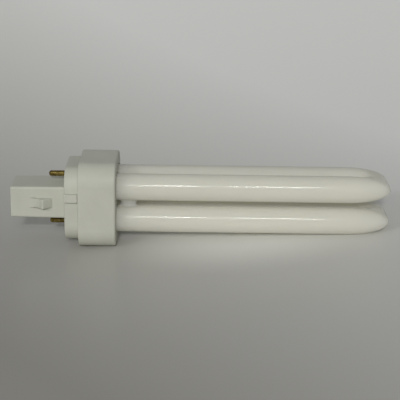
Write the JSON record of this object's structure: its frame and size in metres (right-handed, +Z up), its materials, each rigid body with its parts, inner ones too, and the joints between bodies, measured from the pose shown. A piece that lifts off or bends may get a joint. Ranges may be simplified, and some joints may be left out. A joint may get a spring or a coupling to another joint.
{
  "type": "compact fluorescent lamp",
  "caption": "Plug-in compact fluorescent lamp: bent white tube with parallel limbs in a square plastic holder, with a post and contact pins, lying on its side.",
  "frame": {"origin": "centre of the bottom of the whole lamp's box, on the surface it lies on", "axes": "+X towards the tube's tips, +Z up, -Y the side that the picture shows"},
  "size_m": [0.1534, 0.0344, 0.0351],
  "materials": {
    "coated_glass": "clear glass, coated white inside",
    "housing_plastic": "satin moulded, warm pale grey",
    "pin_brass": "drawn, slightly dulled",
    "cement": "matt, grainy",
    "starter_glass": "clear",
    "capacitor_coating": "dipped resin",
    "wire_metal": "tinned"
  },
  "bodies": {
    "root": {"discharge_tube": "coated_glass", "tube_holder": "housing_plastic", "base_cap": "housing_plastic", "contact_pin_1": "pin_brass", "contact_pin_2": "pin_brass", "cement_1": "cement", "cement_2": "cement", "cement_3": "cement", "cement_4": "cement", "starter_bulb": "starter_glass", "capacitor": "capacitor_coating", "pin_wire_1": "wire_metal", "pin_wire_2": "wire_metal", "starter_wire_1": "wire_metal", "starter_wire_2": "wire_metal", "starter_lead_1": "wire_metal", "starter_lead_2": "wire_metal", "capacitor_lead_1": "wire_metal", "capacitor_lead_2": "wire_metal"}
  },
  "joints": []
}
